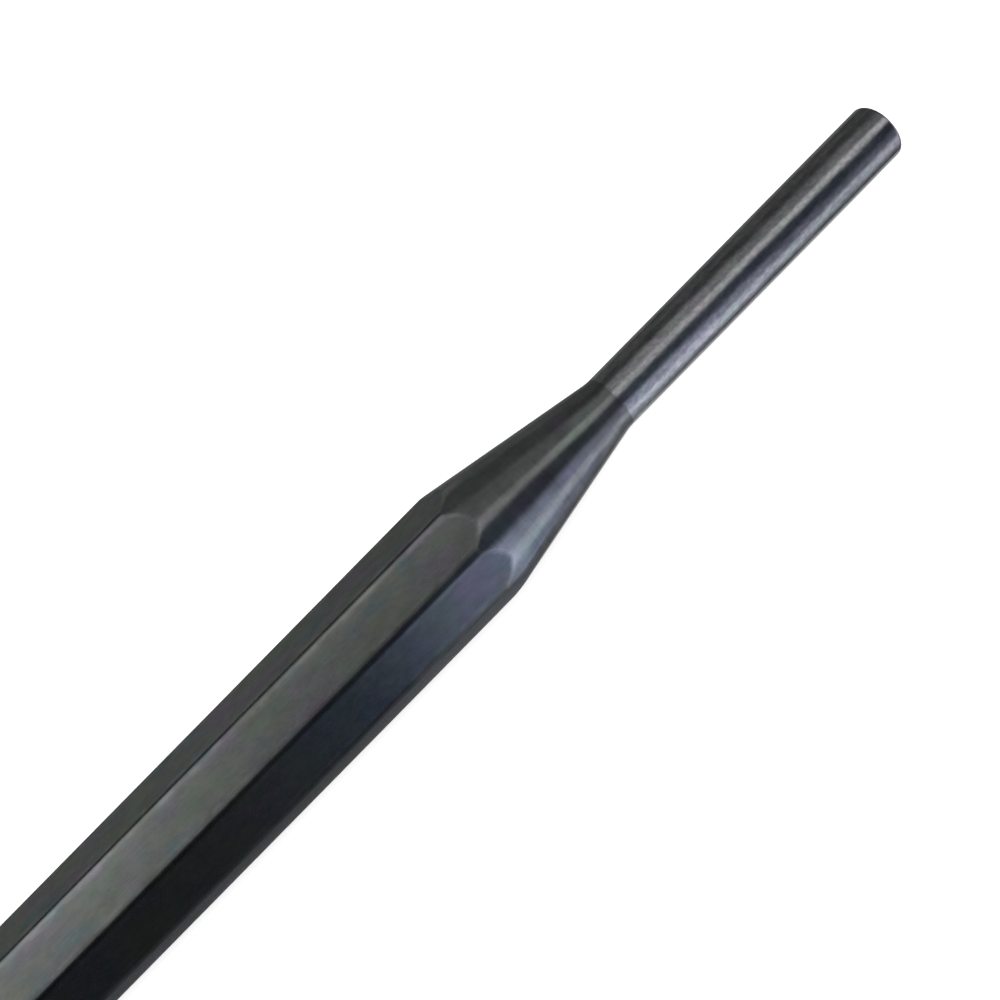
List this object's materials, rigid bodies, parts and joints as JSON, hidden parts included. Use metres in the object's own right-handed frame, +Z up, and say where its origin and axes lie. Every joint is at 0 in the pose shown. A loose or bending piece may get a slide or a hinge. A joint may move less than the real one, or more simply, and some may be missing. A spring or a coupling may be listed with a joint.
{
  "type": "pin punch",
  "caption": "Octagonal steel pin punch with a turned taper and a straight round pin, for driving pins out of holes with a hammer.",
  "frame": {"origin": "on the surface that the punch rests on, under its axis, halfway along its length", "axes": "+X along the punch towards its tip, +Z up from the flat that it rests on"},
  "size_m": [0.15, 0.01, 0.01],
  "materials": {
    "blackened_steel": "satin black oxide on a drawn bar",
    "turned_steel": "satin black oxide over turning marks",
    "ground_steel": "ground and lightly blackened, glossier than the bar"
  },
  "bodies": {
    "root": {"striking_head": "blackened_steel", "octagonal_shank": "blackened_steel", "turned_taper": "turned_steel", "drive_pin": "ground_steel"}
  },
  "joints": []
}
